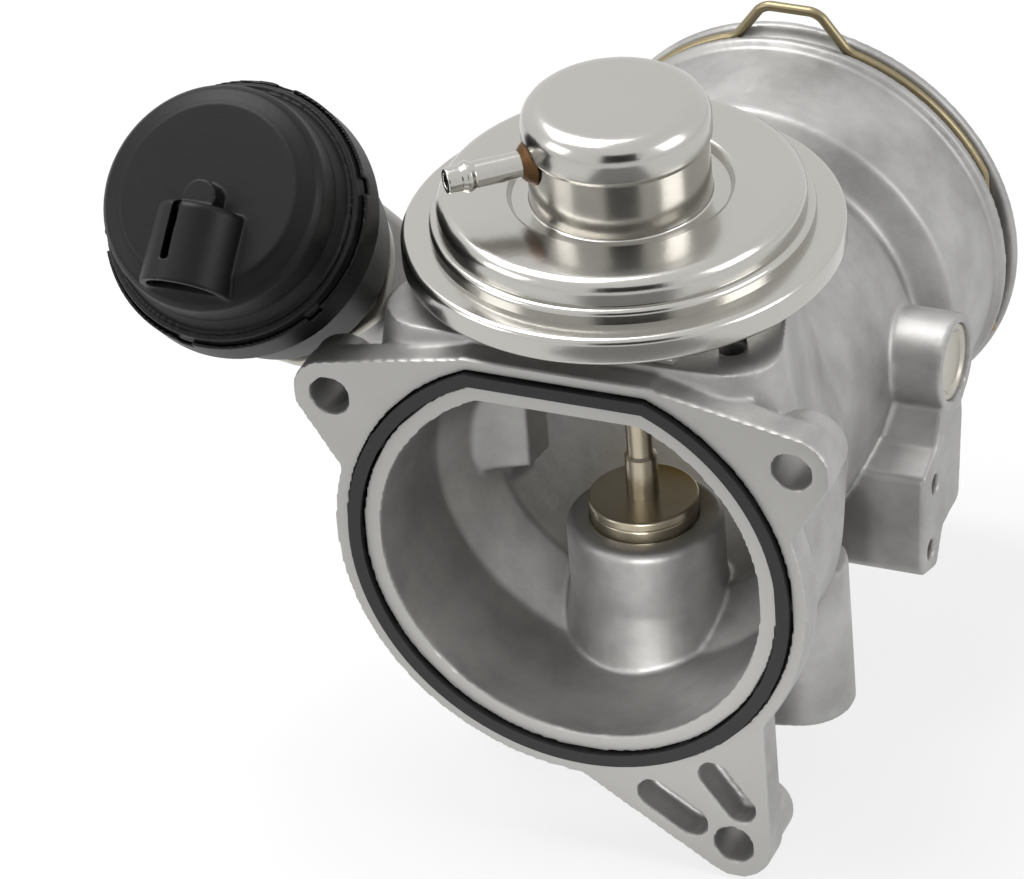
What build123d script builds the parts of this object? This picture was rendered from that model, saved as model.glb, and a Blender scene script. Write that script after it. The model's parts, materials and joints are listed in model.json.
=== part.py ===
from build123d import *
from math import cos, radians, sin, sqrt, tan
import os

# Exhaust gas recirculation valve with its throttle flap housing.
# Frame: millimetres. The origin is the centre of the manifold flange face, on the
# axis of the air duct. +Y runs along the duct from the manifold to the hose collar,
# +Z runs up the valve stem, and +X points at the plugged end of the throttle shaft.

os.makedirs("parts", exist_ok=True)

# ---- Fits shared by all the pieces ----
RUN = 0.05                 # radial clearance of a shaft in its bush
SEAT = 0.02                # radial clearance drawn between pressed pieces
GAP = 0.3                  # air between pieces that only come close

# ---- Air duct and manifold flange ----
BORE_R = 31.85             # manifold bore
BORE_DEPTH = 22.5          # length of its cylindrical stretch
BORE_ROOF_Z = 28.7         # flat roof of the bore, under the valve bonnet
THROAT_R = 26.0            # throttle bore
THROAT_Y = 32.5            # where the throttle bore starts
BODY_WALL = 4.2            # cast wall
FLANGE_T = 5.6             # manifold flange thickness
FLANGE_RIM = 7.75          # flange width outside the bore
EAR_X, EAR_Z = 38.6, 25.2  # upper bolt ears, left and right
LOWER_EAR_X, LOWER_EAR_Z = 24.8, -48.6
EAR_R = 6.3                # round end of an ear
EAR_HOLE_R = 3.3           # clearance hole for M6
EAR_BOSS = 9.6             # length of the upper ears' bolt bosses
SEAL_INNER = 2.9           # land between the bore and the seal groove
SEAL_W = 2.6               # groove width
SEAL_DEPTH = 2.6
SEAL_PROUD = 0.9           # how far the seal stands out of the flange

# ---- Hose collar ----
NECK_Y = 79.0              # end of the slim throttle housing
BELL_R = 34.0              # shoulder of the bell behind it
COLLAR_Y = 108.2           # end face of the collar
COLLAR_R = 36.75
SOCKET_R = 31.5            # socket for the charge air pipe
SOCKET_DEPTH = 9.8
CLIP_Y = 105.1             # plane of the wire clip
CLIP_WIRE_R = 0.8
CLIP_SEAT_R = 34.9         # floor of the clip groove
CLIP_LEG_X = 32.4          # where the clip's legs cut through the collar wall
CLIP_LIFT = 5.0
LOOP_X = 13.6              # feet of the clip's finger loop
LOOP_RISE = 5.0
CLIP_BEND = 2.0

# ---- EGR valve, on a vertical axis ----
VALVE_Y = 31.2
STEM_R = 2.1
STEM_FOOT_R = 2.6
STEM_STEP_Z = 1.8          # where the stem steps down from its foot
DISC_R = 8.9
DISC_T = 1.6
DISC_Z = -7.8              # underside of the closed disc
SEAT_RING_R = 8.7
SEAT_RING_BORE = 7.2
SEAT_RING_H = 6.0
TOWER_R = 12.7             # gas tower that carries the seat
TOWER_Z = -9.8             # its rim
TOWER_FOOT_R = 15.0
GUIDE_R = 4.5              # stem guide bush
GUIDE_DROP = 8.0           # how far the guide boss hangs into the bore
STEM_SEAL_R = 6.0
STEM_SEAL_T = 3.5
VALVE_LIFT = 4.5
INLET_Z = -41.0            # exhaust gas flange face
INLET_R = 9.0              # gas passage
INLET_BOLT_X = 25.5        # two bolt holes, along X
INLET_EAR_R = 8.4
INLET_BOLT_R = 3.4         # tapped M8
INLET_BOLT_DEPTH = 18.0
INLET_FLANGE_T = 9.0

# ---- Bonnet and vacuum capsule ----
PAD_Z = 37.5               # machined pad under the capsule
LOBE_X, LOBE_Y = 24.5, 13.0
LOBE_R = 8.2
REAR_LOBE_Y = 60.0
PLATE_T = 1.4              # capsule mounting plate
SHEET = 0.8                # pressed stainless sheet
CAPSULE_R = 35.0           # crimped rim
RIM_TOP_Z = 45.6
RIM_LOW_Z = 40.9
STEP_R, STEP_Z = 30.3, 48.0
DOME_R, DOME_Z = 29.1, 52.2
RECESS_R, RECESS_Z = 18.0, 50.6
CAP_R, CAP_Z = 15.0, 68.1
CAP_ROUND = 3.9            # rounding of the cap's top edge
CAP_NECK_R = 14.5
CAP_NECK_Z = 61.0
DIAPHRAGM_Z = 42.9
SPRING_WIRE_R = 1.0
SPRING_R = 11.4
SPRING_TURNS = 4.5
NIPPLE_Z = 59.8
NIPPLE_TURN = 220.0        # direction of the nipple about the stem, degrees from +X
NIPPLE_R = 2.15
NIPPLE_BORE = 1.2
NIPPLE_BEAD_R = 2.55
NIPPLE_TIP = 28.2          # distance of its tip from the stem axis

# ---- Throttle ----
SHAFT_Y = 72.0
SHAFT_R = 4.0
SPIGOT_R = 3.4             # lever end of the shaft, with two flats
SPIGOT_FLAT = 2.5
BOSS_R = 8.1
BOSS_X = 38.9              # right bearing boss ends here
LEFT_BOSS_X = 42.0         # left bearing boss ends here
BUSH_R = 6.2
BUSH_L = 9.0
PLUG_R = 6.4
PLUG_T = 2.0
PLUG_SUNK = 0.7
SHAFT_SEAL_T = 3.0
BLOCK_X = 38.5             # right face of the cast block under the shaft
BLOCK_HOLES = ((61.0, -16.7), (57.6, -27.2))   # (y, z) of two tapped M4 holes
BLOCK_HOLE_R = 1.65
BLOCK_HOLE_DEPTH = 9.0
FLAP_T = 2.0
FLAP_EDGE = 0.12           # air between the flap and its bore
FLAP_SCREW_X = 11.0
FLAP_SCREW_R = 2.0
FLAP_FLAT_Z = 3.1          # flats on the shaft under the screw heads
FLAP_TRAVEL = 80.0         # degrees from open to closed
LEVER_T = 2.8
LEVER_ARM = 12.0
PIN_R = 2.4
CLIP_T = 0.7               # retaining clip on the pin

# ---- Vacuum can and its linkage, along a tilted axis ----
CAN_X, CAN_Y, CAN_Z = -57.1, 11.5, 48.3
CAN_TILT = 46.5            # the can faces this far up from -Y
CAN_R = 21.8
CAN_FACE_R = 14.7          # flat of the face
CAN_SHOULDER_R = 17.6
CAN_SHOULDER = 8.2         # foot of the steep wall in front of the rim
CAN_FACE = 13.8            # face height in front of the rim
CAN_REAR = 24.8            # rear wall behind the rim
CAN_REAR_R = 17.2
CAN_WALL = 1.8
CAN_SPRING_R = 11.0
CAN_SPRING_WIRE = 0.9
CAN_SPRING_TURNS = 5.5
PISTON_S = 19.3            # back of the piston behind the rim
NOSE_R = 5.0
NOSE_BUSH_R = 3.3
NOSE_L = 9.0
ROD_R = 2.0
BRACKET_S = 28.0           # front of the bracket plate behind the rim
BRACKET_T = 2.5
STUD_X, STUD_U = -5.1, 8.8
STUD_R = 2.5
SCREW_R = 2.5
ARM_SCREWS = ((10.9, -4.5), (8.0, 8.5))
JOG_START, JOG_END = 55.0, 70.0
EYE_T = 3.0
EYE_GAP = 1.8              # from the lever's face to the eye
SOCKET_R_OUT = 7.2         # half-round hood over the can's hose stub
SOCKET_TOP, SOCKET_MOUTH = -2.8, -16.0   # where the hood starts and ends, across the face
SLOT_SIDE = 0.45           # air each side of the pin in the eye's slot


# ---- Places that follow from the sizes ----
VALVE = Location((0, VALVE_Y, 0))
CAN = Plane(
    origin=(CAN_X, CAN_Y, CAN_Z),
    x_dir=(1, 0, 0),
    z_dir=(0, -cos(radians(CAN_TILT)), sin(radians(CAN_TILT))),
)
LEVER_REST = -(CAN_TILT + 50.0)                # lever when open, degrees from +Y towards +Z
LEVER_X = -(LEFT_BOSS_X + 1.0)                 # inner face of the lever
EYE_X = LEVER_X - LEVER_T - EYE_GAP            # inner face of the rod eye
EYE_MID_X = EYE_X - EYE_T / 2
EYE_DX = EYE_MID_X - CAN_X                     # eye as seen from the can's axis
CLIP_AT = LEVER_T + EYE_GAP + EYE_T + 0.5
PLATE_TOP = PAD_Z + PLATE_T
LOWER_FLANGE_Z = RIM_LOW_Z + 1.5 * SHEET + RUN # middle of the lower shell's flange
CUP_Z = DIAPHRAGM_Z + 0.35                     # underside of the spring cup


def shaft_in_can():
    """Shaft axis as seen from the can: (u, s), u across the axis and s behind the rim."""
    tilt = radians(CAN_TILT)
    dy, dz = SHAFT_Y - CAN_Y, -CAN_Z
    return dy * sin(tilt) + dz * cos(tilt), dy * cos(tilt) - dz * sin(tilt)


SHAFT_U, SHAFT_S = shaft_in_can()
SWING = radians(FLAP_TRAVEL / 2)
PIN_S = SHAFT_S + LEVER_ARM * sin(SWING)       # pin behind the rim, flap open
SLOT_U = SHAFT_U - LEVER_ARM * (1 + cos(SWING)) / 2
SLOT_HALF = LEVER_ARM * (1 - cos(SWING)) / 2 + PIN_R + 0.35


def on_can(shape):
    """Place a shape drawn about the can's axis: its z is the axis, z = 0 the rim."""
    return CAN.location * shape


def lathe(points, radii=0.0):
    """Solid of revolution about Z from an (r, z) outline with rounded corners."""
    rounding = radii if isinstance(radii, (list, tuple)) else [radii] * len(points)
    outline = FilletPolyline(*points, radius=rounding, close=True)
    return Rot(X=90) * revolve(make_face(outline), Axis.Y)


def lathe_y(points, radii=0.0):
    """Solid of revolution about Y from an (r, y) outline with rounded corners."""
    rounding = radii if isinstance(radii, (list, tuple)) else [radii] * len(points)
    outline = FilletPolyline(*points, radius=rounding, close=True)
    return revolve(make_face(outline), Axis.Y)


def ring(outer, inner, low, high):
    """Plain ring or tube about Z between two heights."""
    height = high - low
    low_corner = (Align.CENTER, Align.CENTER, Align.MIN)
    body = Cylinder(outer, height, align=low_corner)
    if inner > 0:
        body -= Cylinder(inner, height, align=low_corner)
    return Pos(0, 0, low) * body


def sheet_lathe(points, radii, thickness):
    """Pressed sheet of one thickness, turned about Z along an (r, z) centre line."""
    line = FilletPolyline(*points, radius=radii)
    return Rot(X=90) * revolve(trace(line, line_width=thickness), Axis.Y)


def along_x(shape, x=0.0, y=0.0, z=0.0):
    """Turn a shape drawn about Z so that its z runs along +X, and move it."""
    return Pos(x, y, z) * Rot(Y=90) * shape


def bar(radius, length):
    """Cylinder from z = 0 to z = length."""
    return Cylinder(radius, length, align=(Align.CENTER, Align.CENTER, Align.MIN))


def spring(radius, wire, length, turns):
    """Coil spring about Z, from z = wire to z = length - wire."""
    rise = length - 2 * wire
    path = Helix(pitch=rise / turns, height=rise, radius=radius)
    section = Plane(origin=path @ 0, z_dir=path % 0) * Circle(wire)
    return Pos(0, 0, wire) * sweep(section, path=path, is_frenet=True)


def flat_circle(radius, roof):
    """Circle with its top cut off flat at a height."""
    keep = Rectangle(4 * radius, 4 * radius, align=(Align.CENTER, Align.MAX))
    return Circle(radius) & Pos(0, roof) * keep


def flange_side(sketch, depth, start=0.0):
    """Extrude an (x, z) sketch along +Y from a start."""
    return Pos(0, start, 0) * extrude(Plane.XZ * sketch, amount=-depth)


# ---- Main casting ----
def ear_outline(x, z, roots):
    """Bolt ear: the hull of its round end and two root points on the rim."""
    end = Pos(x, z) * Circle(EAR_R)
    root = Polyline((0, 0), *roots, close=True)
    return make_hull([*end.edges(), *root.edges()])


def flange_outline():
    """Manifold flange seen from the front, with three bolt ears."""
    rim_r = BORE_R + FLANGE_RIM
    outline = flat_circle(rim_r, BORE_ROOF_Z + FLANGE_RIM)
    for side in (-1, 1):
        roots = ((side * 17.0, EAR_Z + 10.7), (side * 37.8, 12.0))
        outline += ear_outline(side * EAR_X, EAR_Z, roots)
    lower_roots = ((-1.0, -rim_r + 0.2), (LOWER_EAR_X + EAR_R, -22.0))
    return outline + ear_outline(LOWER_EAR_X, LOWER_EAR_Z, lower_roots)


def bonnet_outline(extra=0.0):
    """Capsule pad seen from above: a round platform with three screw lobes."""
    rounds = [Pos(0, VALVE_Y) * Circle(26.0 + extra)]
    for side in (-1, 1):
        rounds.append(Pos(side * LOBE_X, LOBE_Y) * Circle(LOBE_R + extra))
    rounds.append(Pos(0, REAR_LOBE_Y) * Circle(LOBE_R + extra))
    return make_hull([edge for circle in rounds for edge in circle.edges()])


def duct_outside():
    """Outside of the duct, from the flange to the hose collar."""
    bowl_r = BORE_R + BODY_WALL
    slim_r = THROAT_R + BODY_WALL
    points = [
        (0, 0.5),
        (bowl_r, 0.5),
        (bowl_r, BORE_DEPTH + 4),
        (slim_r, THROAT_Y + 12),
        (slim_r, NECK_Y - 2.5),
        (slim_r - 1.2, NECK_Y - 0.5),
        (slim_r - 1.2, NECK_Y + 1.0),
        (BELL_R + 0.3, NECK_Y + 5.2),
        (BELL_R + 1.0, CLIP_Y - 5.5),
        (BELL_R + 1.0, CLIP_Y - 3.2),
        (COLLAR_R - 0.6, CLIP_Y - 2.6),
        (COLLAR_R - 0.6, CLIP_Y - 1.2),
        (CLIP_SEAT_R, CLIP_Y - 1.0),
        (CLIP_SEAT_R, CLIP_Y + 1.0),
        (COLLAR_R, CLIP_Y + 1.2),
        (COLLAR_R, COLLAR_Y),
        (0, COLLAR_Y),
    ]
    rounding = [0, 0, 8, 8, 0.8, 0.8, 0.7, 1.2, 1.5, 0.3, 0.4, 0.3, 0.2, 0.2, 0.3, 0.6, 0]
    return lathe_y(points, rounding)


def duct_inside():
    """Air way: manifold bore with its flat roof, cone, throttle bore and pipe socket."""
    far = COLLAR_Y + 1
    socket_y = COLLAR_Y - SOCKET_DEPTH
    bore = flange_side(flat_circle(BORE_R, BORE_ROOF_Z), BORE_DEPTH + 1, -1)
    cone = lathe_y([
        (0, BORE_DEPTH - 0.01),
        (BORE_R, BORE_DEPTH - 0.01),
        (THROAT_R, THROAT_Y),
        (THROAT_R, socket_y - 14),
        (SOCKET_R - 2.5, socket_y - 8),
        (SOCKET_R - 2.5, socket_y),
        (SOCKET_R, socket_y),
        (SOCKET_R, far),
        (0, far),
    ])
    roof = Pos(0, THROAT_Y + 10, BORE_ROOF_Z) * Box(
        200, 100, 100, align=(Align.CENTER, Align.MAX, Align.MIN)
    )
    return bore + (cone - roof)


def side_block():
    """Cast block below the right shaft boss, with its scallop and rib, along X."""
    front = SHAFT_Y - 15.9
    points = [
        (SHAFT_Y + 2.0, -2.0),
        (SHAFT_Y - 5.4, -3.0),
        (SHAFT_Y - 7.2, -6.4),
        (SHAFT_Y - 9.6, -10.6),
        (SHAFT_Y - 12.6, -11.6),
        (front, -12.8),
        (front - 2.8, -29.8),
        (front + 3.7, -31.8),
        (front + 7.3, -26.3),
        (front + 15.1, -25.6),
        (SHAFT_Y + 2.8, -10.5),
    ]
    rounding = [0, 0.8, 2.5, 1.2, 0.8, 0.8, 1.0, 1.0, 1.5, 1.5, 1.5]
    outline = FilletPolyline(*points, radius=rounding, close=True)
    return extrude(Plane.YZ * make_face(outline), amount=BLOCK_X)


def inlet_column():
    """Gas pipe stub under the bowl with its two bolt columns and flange."""
    stub = Pos(0, VALVE_Y) * Circle(INLET_R + 5.0)
    ears = [Pos(side * INLET_BOLT_X, VALVE_Y) * Circle(INLET_EAR_R) for side in (-1, 1)]
    rounds = [stub] + ears
    plate = make_hull([edge for circle in rounds for edge in circle.edges()])
    body = Pos(0, 0, INLET_Z) * extrude(plate, amount=INLET_FLANGE_T)
    body += Pos(0, 0, INLET_Z) * extrude(stub, amount=20.0)
    for ear in ears:
        body += Pos(0, 0, INLET_Z) * extrude(ear, amount=-INLET_Z - 14.0)
    return body


def bracket_arm():
    """Arm on the left of the bowl that carries the vacuum can's bracket."""
    back = BRACKET_S + BRACKET_T
    depth = 12.0
    arm_u = ARM_SCREWS[0][1]
    bosses = [Pos(x, u) * Circle(SCREW_R + 2.0) for x, u in ARM_SCREWS]
    web = make_hull([edge for boss in bosses for edge in boss.edges()])
    pad = Pos(0, 0, -back - depth) * extrude(web, amount=depth)
    tail_x = -CAN_X - 20.0
    tail = Pos(ARM_SCREWS[0][0], arm_u, -back - depth / 2 - 1.0) * along_x(
        bar(SCREW_R + 1.9, tail_x - ARM_SCREWS[0][0])
    )
    return on_can(pad + tail)


def gas_tower():
    """Tower in the bowl that lifts the valve seat into the air stream."""
    points = [
        (0, INLET_Z + 4),
        (TOWER_FOOT_R, INLET_Z + 4),
        (TOWER_R, -22.0),
        (TOWER_R, TOWER_Z),
        (0, TOWER_Z),
    ]
    return VALVE * lathe(points, [0, 0, 6, 1.6, 0])


def main_housing():
    """Die-cast housing: duct, flange, bonnet, tower, bosses, block and collar."""
    body = duct_outside()
    body += flange_side(flange_outline(), FLANGE_T)
    for side in (-1, 1):
        body += flange_side(Pos(side * EAR_X, EAR_Z) * Circle(EAR_R - 0.3), EAR_BOSS)
    bonnet = Pos(0, 0, PAD_Z) * extrude(bonnet_outline(), amount=-26.0, taper=-9)
    ahead = Pos(0, 0.5, 0) * Box(200, 60, 200, align=(Align.CENTER, Align.MAX, Align.CENTER))
    body += bonnet - ahead
    body += along_x(bar(BOSS_R, BOSS_X), 0, SHAFT_Y)
    body += along_x(bar(BOSS_R, LEFT_BOSS_X), -LEFT_BOSS_X, SHAFT_Y)
    body += side_block()
    body += inlet_column()
    body += bracket_arm()
    body -= duct_inside()
    body += gas_tower() & Pos(0, VALVE_Y, -60) * bar(40, 80)
    body += VALVE * ring(STEM_R + 6.0, 0, BORE_ROOF_Z - GUIDE_DROP, BORE_ROOF_Z + 4.0)
    body += left_buttress()
    body -= flange_side(seal_groove(), SEAL_DEPTH + 1, -1)
    body -= housing_holes()
    return body


def left_buttress():
    """Faceted thickening of the left wall, where the bracket arm joins the bowl."""
    upper = Polyline((-40, 20), (-29.5, 28), (-20.0, 33), (-19.2, 39), (-25.5, 50), (-40, 50), close=True)
    lower = Polyline((-40, 20), (-30, 28), (-24.0, 34), (-23.2, 41), (-26.5, 50), (-40, 50), close=True)
    block = Pos(0, 0, -6) * extrude(make_face(upper), amount=BORE_ROOF_Z + 8)
    block += Pos(0, 0, -16) * extrude(make_face(lower), amount=30)
    wall = lathe_y([(0, 15), (BORE_R + 2, 15), (BORE_R + 2, 30), (THROAT_R + 2, 60), (0, 60)])
    return block & wall


def seal_groove():
    """Groove for the manifold seal, seen from the front."""
    inner = BORE_R + SEAL_INNER
    outer = inner + SEAL_W
    lift = SEAL_INNER
    return flat_circle(outer, BORE_ROOF_Z + lift + SEAL_W) - flat_circle(inner, BORE_ROOF_Z + lift)


def lower_ear_pockets():
    """Two through pockets that lighten the lower ear."""
    left = Pos(14.7, -43.4) * Rot(Z=-33) * SlotOverall(12.8, 5.4)
    right = Pos(24.2, -38.6) * Rot(Z=-54) * SlotOverall(12.0, 5.2)
    return left + right


def housing_holes():
    """Everything bored, tapped or cored in the casting."""
    cuts = []
    ears = ((-EAR_X, EAR_Z), (EAR_X, EAR_Z), (LOWER_EAR_X, LOWER_EAR_Z))
    for x, z in ears:
        cuts.append(flange_side(Pos(x, z) * Circle(EAR_HOLE_R), FLANGE_T + 14, -1))
    cuts.append(flange_side(lower_ear_pockets(), FLANGE_T + 14, -1))
    # gas way and seat
    cuts.append(VALVE * ring(INLET_R, 0, INLET_Z - 1, DISC_Z - SEAT_RING_H - 3))
    cuts.append(VALVE * ring(SEAT_RING_BORE, 0, INLET_Z, 0))
    cuts.append(VALVE * ring(SEAT_RING_R + SEAT, 0, DISC_Z - SEAT_RING_H, 0))
    for side in (-1, 1):
        hole = bar(INLET_BOLT_R, INLET_BOLT_DEPTH + 1)
        cuts.append(Pos(side * INLET_BOLT_X, VALVE_Y, INLET_Z - 1) * hole)
    # stem guide and capsule screws
    cuts.append(VALVE * ring(GUIDE_R + SEAT, 0, BORE_ROOF_Z - GUIDE_DROP - 1, PAD_Z + 1))
    cuts.append(VALVE * ring(STEM_SEAL_R + SEAT, 0, PAD_Z - STEM_SEAL_T, PAD_Z + 1))
    for x, y in capsule_screw_places():
        cuts.append(Pos(x, y, PAD_Z - 9) * bar(SCREW_R * 0.84, 10))
    # throttle shaft
    cuts.append(along_x(bar(SHAFT_R + GAP, 2 * BOSS_X), -BOSS_X, SHAFT_Y))
    cuts.append(along_x(bar(BUSH_R + SEAT, 20), BOSS_X - PLUG_SUNK - PLUG_T - BUSH_L, SHAFT_Y))
    cuts.append(along_x(bar(PLUG_R + SEAT, 20), BOSS_X - PLUG_SUNK - PLUG_T, SHAFT_Y))
    cuts.append(along_x(bar(BUSH_R + SEAT, 20), -LEFT_BOSS_X + SHAFT_SEAL_T + BUSH_L - 20, SHAFT_Y))
    # tapped holes in the side block
    for y, z in BLOCK_HOLES:
        hole = bar(BLOCK_HOLE_R, BLOCK_HOLE_DEPTH + 5)
        cuts.append(along_x(hole, BLOCK_X - BLOCK_HOLE_DEPTH, y, z))
    # arm screws
    for x, u in ARM_SCREWS:
        depth = 10.0
        hole = Pos(x, u, -BRACKET_S - BRACKET_T - depth) * bar(SCREW_R * 0.84, depth + 1)
        cuts.append(on_can(hole))
    # slots for the legs of the wire clip
    for side in (-1, 1):
        slot = Box(8.3, 2 * CLIP_WIRE_R + 0.6, 33.2)
        cuts.append(Pos(side * (CLIP_LEG_X + 1.25), CLIP_Y, 0) * slot)
    return cuts


def capsule_screw_places():
    """Centres of the three screws that hold the capsule's mounting plate."""
    return ((-LOBE_X, LOBE_Y), (LOBE_X, LOBE_Y), (0, REAR_LOBE_Y))


# ---- Manifold seal ----
def manifold_seal():
    """Moulded rubber seal in the flange groove, with nubs that grip the groove walls."""
    slack = 0.25
    middle = BORE_R + SEAL_INNER + SEAL_W / 2
    roof = BORE_ROOF_Z + SEAL_INNER + SEAL_W / 2
    half = SEAL_W / 2 - slack
    strip = flat_circle(middle + half, roof + half) - flat_circle(middle - half, roof - half)
    body = flange_side(strip, SEAL_DEPTH + SEAL_PROUD, -SEAL_PROUD)
    nub = flange_side(Ellipse(2.2, SEAL_W / 2 - SEAT), SEAL_DEPTH - 0.2, 0.2)
    for turn in range(0, 360, 30):
        if sin(radians(turn)) * middle < roof - 4:
            place = Pos(middle * cos(radians(turn)), 0, middle * sin(radians(turn)))
            body += place * Rot(Y=90 - turn) * nub
    for x in (-8.0, 8.0):
        body += Pos(x, 0, roof) * nub
    return body


# ---- EGR valve ----
def egr_seat_ring():
    """Hardened seat ring pressed into the tower, with a bevelled mouth."""
    low, high = DISC_Z - SEAT_RING_H, DISC_Z - RUN
    points = [
        (SEAT_RING_BORE, low),
        (SEAT_RING_R, low),
        (SEAT_RING_R, high),
        (SEAT_RING_BORE + 0.6, high),
        (SEAT_RING_BORE, high - 1.0),
    ]
    return VALVE * lathe(points, [0, 0, 0.3, 0, 0])


def egr_valve_disc():
    """Valve disc with a coned nose that enters the seat."""
    hub = 1.6
    points = [
        (STEM_R + SEAT, DISC_Z - hub),
        (5.0, DISC_Z - hub),
        (SEAT_RING_BORE - 0.4, DISC_Z),
        (DISC_R, DISC_Z),
        (DISC_R, DISC_Z + DISC_T),
        (STEM_R + SEAT, DISC_Z + DISC_T),
    ]
    return VALVE * lathe(points, [0, 0.4, 0, 0.25, 0.4, 0])


def egr_valve_stem():
    """Stem, stepped at its foot and peened over at both ends."""
    foot = DISC_Z + DISC_T
    low = DISC_Z - 1.6
    top = CUP_Z + SHEET
    points = [
        (0, low - 1.0),
        (STEM_R + 0.9, low - 0.8),
        (STEM_R + 0.9, low - SEAT),
        (STEM_R, low - SEAT),
        (STEM_R, foot + SEAT),
        (STEM_FOOT_R, foot + SEAT),
        (STEM_FOOT_R, STEM_STEP_Z - 0.5),
        (STEM_R, STEM_STEP_Z),
        (STEM_R, top + SEAT),
        (STEM_R + 0.9, top + SEAT),
        (STEM_R + 0.9, top + 0.8),
        (0, top + 1.0),
    ]
    return VALVE * lathe(points)


def stem_guide_bush():
    """Long guide bush pressed through the roof of the bore."""
    low = BORE_ROOF_Z - GUIDE_DROP - 0.6
    return VALVE * ring(GUIDE_R, STEM_R + RUN, low, PAD_Z - STEM_SEAL_T - SEAT)


def stem_seal():
    """Lip seal that keeps exhaust gas out of the capsule."""
    low, high = PAD_Z - STEM_SEAL_T, PAD_Z - 0.1
    points = [
        (STEM_R + RUN, low + 0.6),
        (STEM_R + 1.2, low + 0.6),
        (STEM_R + 1.8, low),
        (STEM_SEAL_R, low),
        (STEM_SEAL_R, high),
        (STEM_R + 2.0, high),
        (STEM_R + 1.2, high - 1.4),
        (STEM_R + RUN, high - 1.4),
    ]
    return VALVE * lathe(points)


# ---- Vacuum capsule ----
def capsule_mount_plate():
    """Stamped plate that ties the capsule to the three screw lobes."""
    plate = bonnet_outline(-0.7)
    for x, y in capsule_screw_places():
        plate -= Pos(x, y) * Circle(SCREW_R + 0.15)
    plate -= Pos(0, VALVE_Y) * Circle(STEM_R + 1.4)
    return Pos(0, 0, PAD_Z) * extrude(plate, amount=PLATE_T)


def capsule_mount_screws():
    """Three low-headed screws, tucked under the capsule's rim."""
    head = 1.7
    screw = ring(4.3, 0, PLATE_TOP, PLATE_TOP + head)
    socket = RegularPolygon(2.0, 6)
    screw -= Pos(0, 0, PLATE_TOP + head - 1.0) * extrude(socket, amount=2)
    screw += ring(SCREW_R * 0.84 - SEAT, 0, PAD_Z - 8.5, PLATE_TOP)
    return Compound(children=[Pos(x, y) * screw for x, y in capsule_screw_places()])


def capsule_lower_shell():
    """Lower pan of the capsule, from the stem hole out to the clamped flange."""
    floor_z = PLATE_TOP + RUN + SHEET / 2
    rim = CAPSULE_R - 2.0 * SHEET
    points = [(STEM_R + 1.4, floor_z), (22.0, floor_z), (25.0, LOWER_FLANGE_Z), (rim, LOWER_FLANGE_Z)]
    pan = sheet_lathe(points, [1.5, 1.5], SHEET)
    return VALVE * pan


def capsule_upper_shell():
    """Upper shell: crimped rim, stepped dome, recess and deep-drawn cap."""
    half = SHEET / 2
    points = [
        (CAPSULE_R - 3.0, RIM_LOW_Z + half),
        (CAPSULE_R - half, RIM_LOW_Z + half),
        (CAPSULE_R - half, RIM_TOP_Z - half),
        (STEP_R - half, RIM_TOP_Z - half),
        (STEP_R - half, STEP_Z - half),
        (DOME_R - half, STEP_Z - half),
        (DOME_R - half, DOME_Z - half),
        (RECESS_R + half, DOME_Z - half),
        (RECESS_R - 1.0, RECESS_Z - half),
        (CAP_NECK_R - half, RECESS_Z - half),
        (CAP_NECK_R - half, CAP_NECK_Z - 0.8),
        (CAP_R - half, CAP_NECK_Z + 0.8),
        (CAP_R - half, CAP_Z - half),
        (0, CAP_Z - half),
    ]
    radii = [0.6, 0.9, 0.55, 0.55, 0.55, 2.6, 0.9, 0.9, 0.9, 0.6, 0.6, CAP_ROUND - half]
    shell = VALVE * sheet_lathe(points, radii, SHEET)
    return shell - nipple_axis() * Pos(0, 0, 5) * bar(NIPPLE_R + SEAT, 30)


def nipple_axis():
    """Frame of the vacuum nipple: z runs out along it, from the stem axis."""
    return Location((0, VALVE_Y, NIPPLE_Z)) * Rot(Z=NIPPLE_TURN) * Rot(Y=90)


def vacuum_nipple():
    """Tube brazed into the cap, with a hose bead near its tip."""
    root = CAP_NECK_R - 2.0
    points = [
        (NIPPLE_BORE, root),
        (NIPPLE_R, root),
        (NIPPLE_R, NIPPLE_TIP - 4.6),
        (NIPPLE_BEAD_R, NIPPLE_TIP - 3.8),
        (NIPPLE_BEAD_R, NIPPLE_TIP - 3.2),
        (NIPPLE_R, NIPPLE_TIP - 2.4),
        (NIPPLE_R, NIPPLE_TIP),
        (NIPPLE_BORE, NIPPLE_TIP),
    ]
    return nipple_axis() * lathe(points, [0, 0, 0.5, 0.3, 0.3, 0.5, 0.4, 0.2])


def nipple_braze():
    """Collar of braze metal round the root of the nipple."""
    reach = CAP_NECK_R + 1.6
    points = [
        (NIPPLE_R + SEAT, CAP_NECK_R - 2),
        (NIPPLE_R + 1.7, CAP_NECK_R - 2),
        (NIPPLE_R + 1.7, CAP_NECK_R - 0.2),
        (NIPPLE_R + 0.7, reach - 0.6),
        (NIPPLE_R + SEAT, reach),
    ]
    collar = nipple_axis() * lathe(points)
    neck, cap = CAP_NECK_R + 2 * SEAT, CAP_R + 2 * SEAT
    step = [(neck, CAP_NECK_Z - 0.8), (cap, CAP_NECK_Z + 0.8)]
    outside = [(0, CAP_NECK_Z - 12), (neck, CAP_NECK_Z - 12), *step, (cap, CAP_Z), (0, CAP_Z)]
    return collar - VALVE * lathe(outside)


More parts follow.
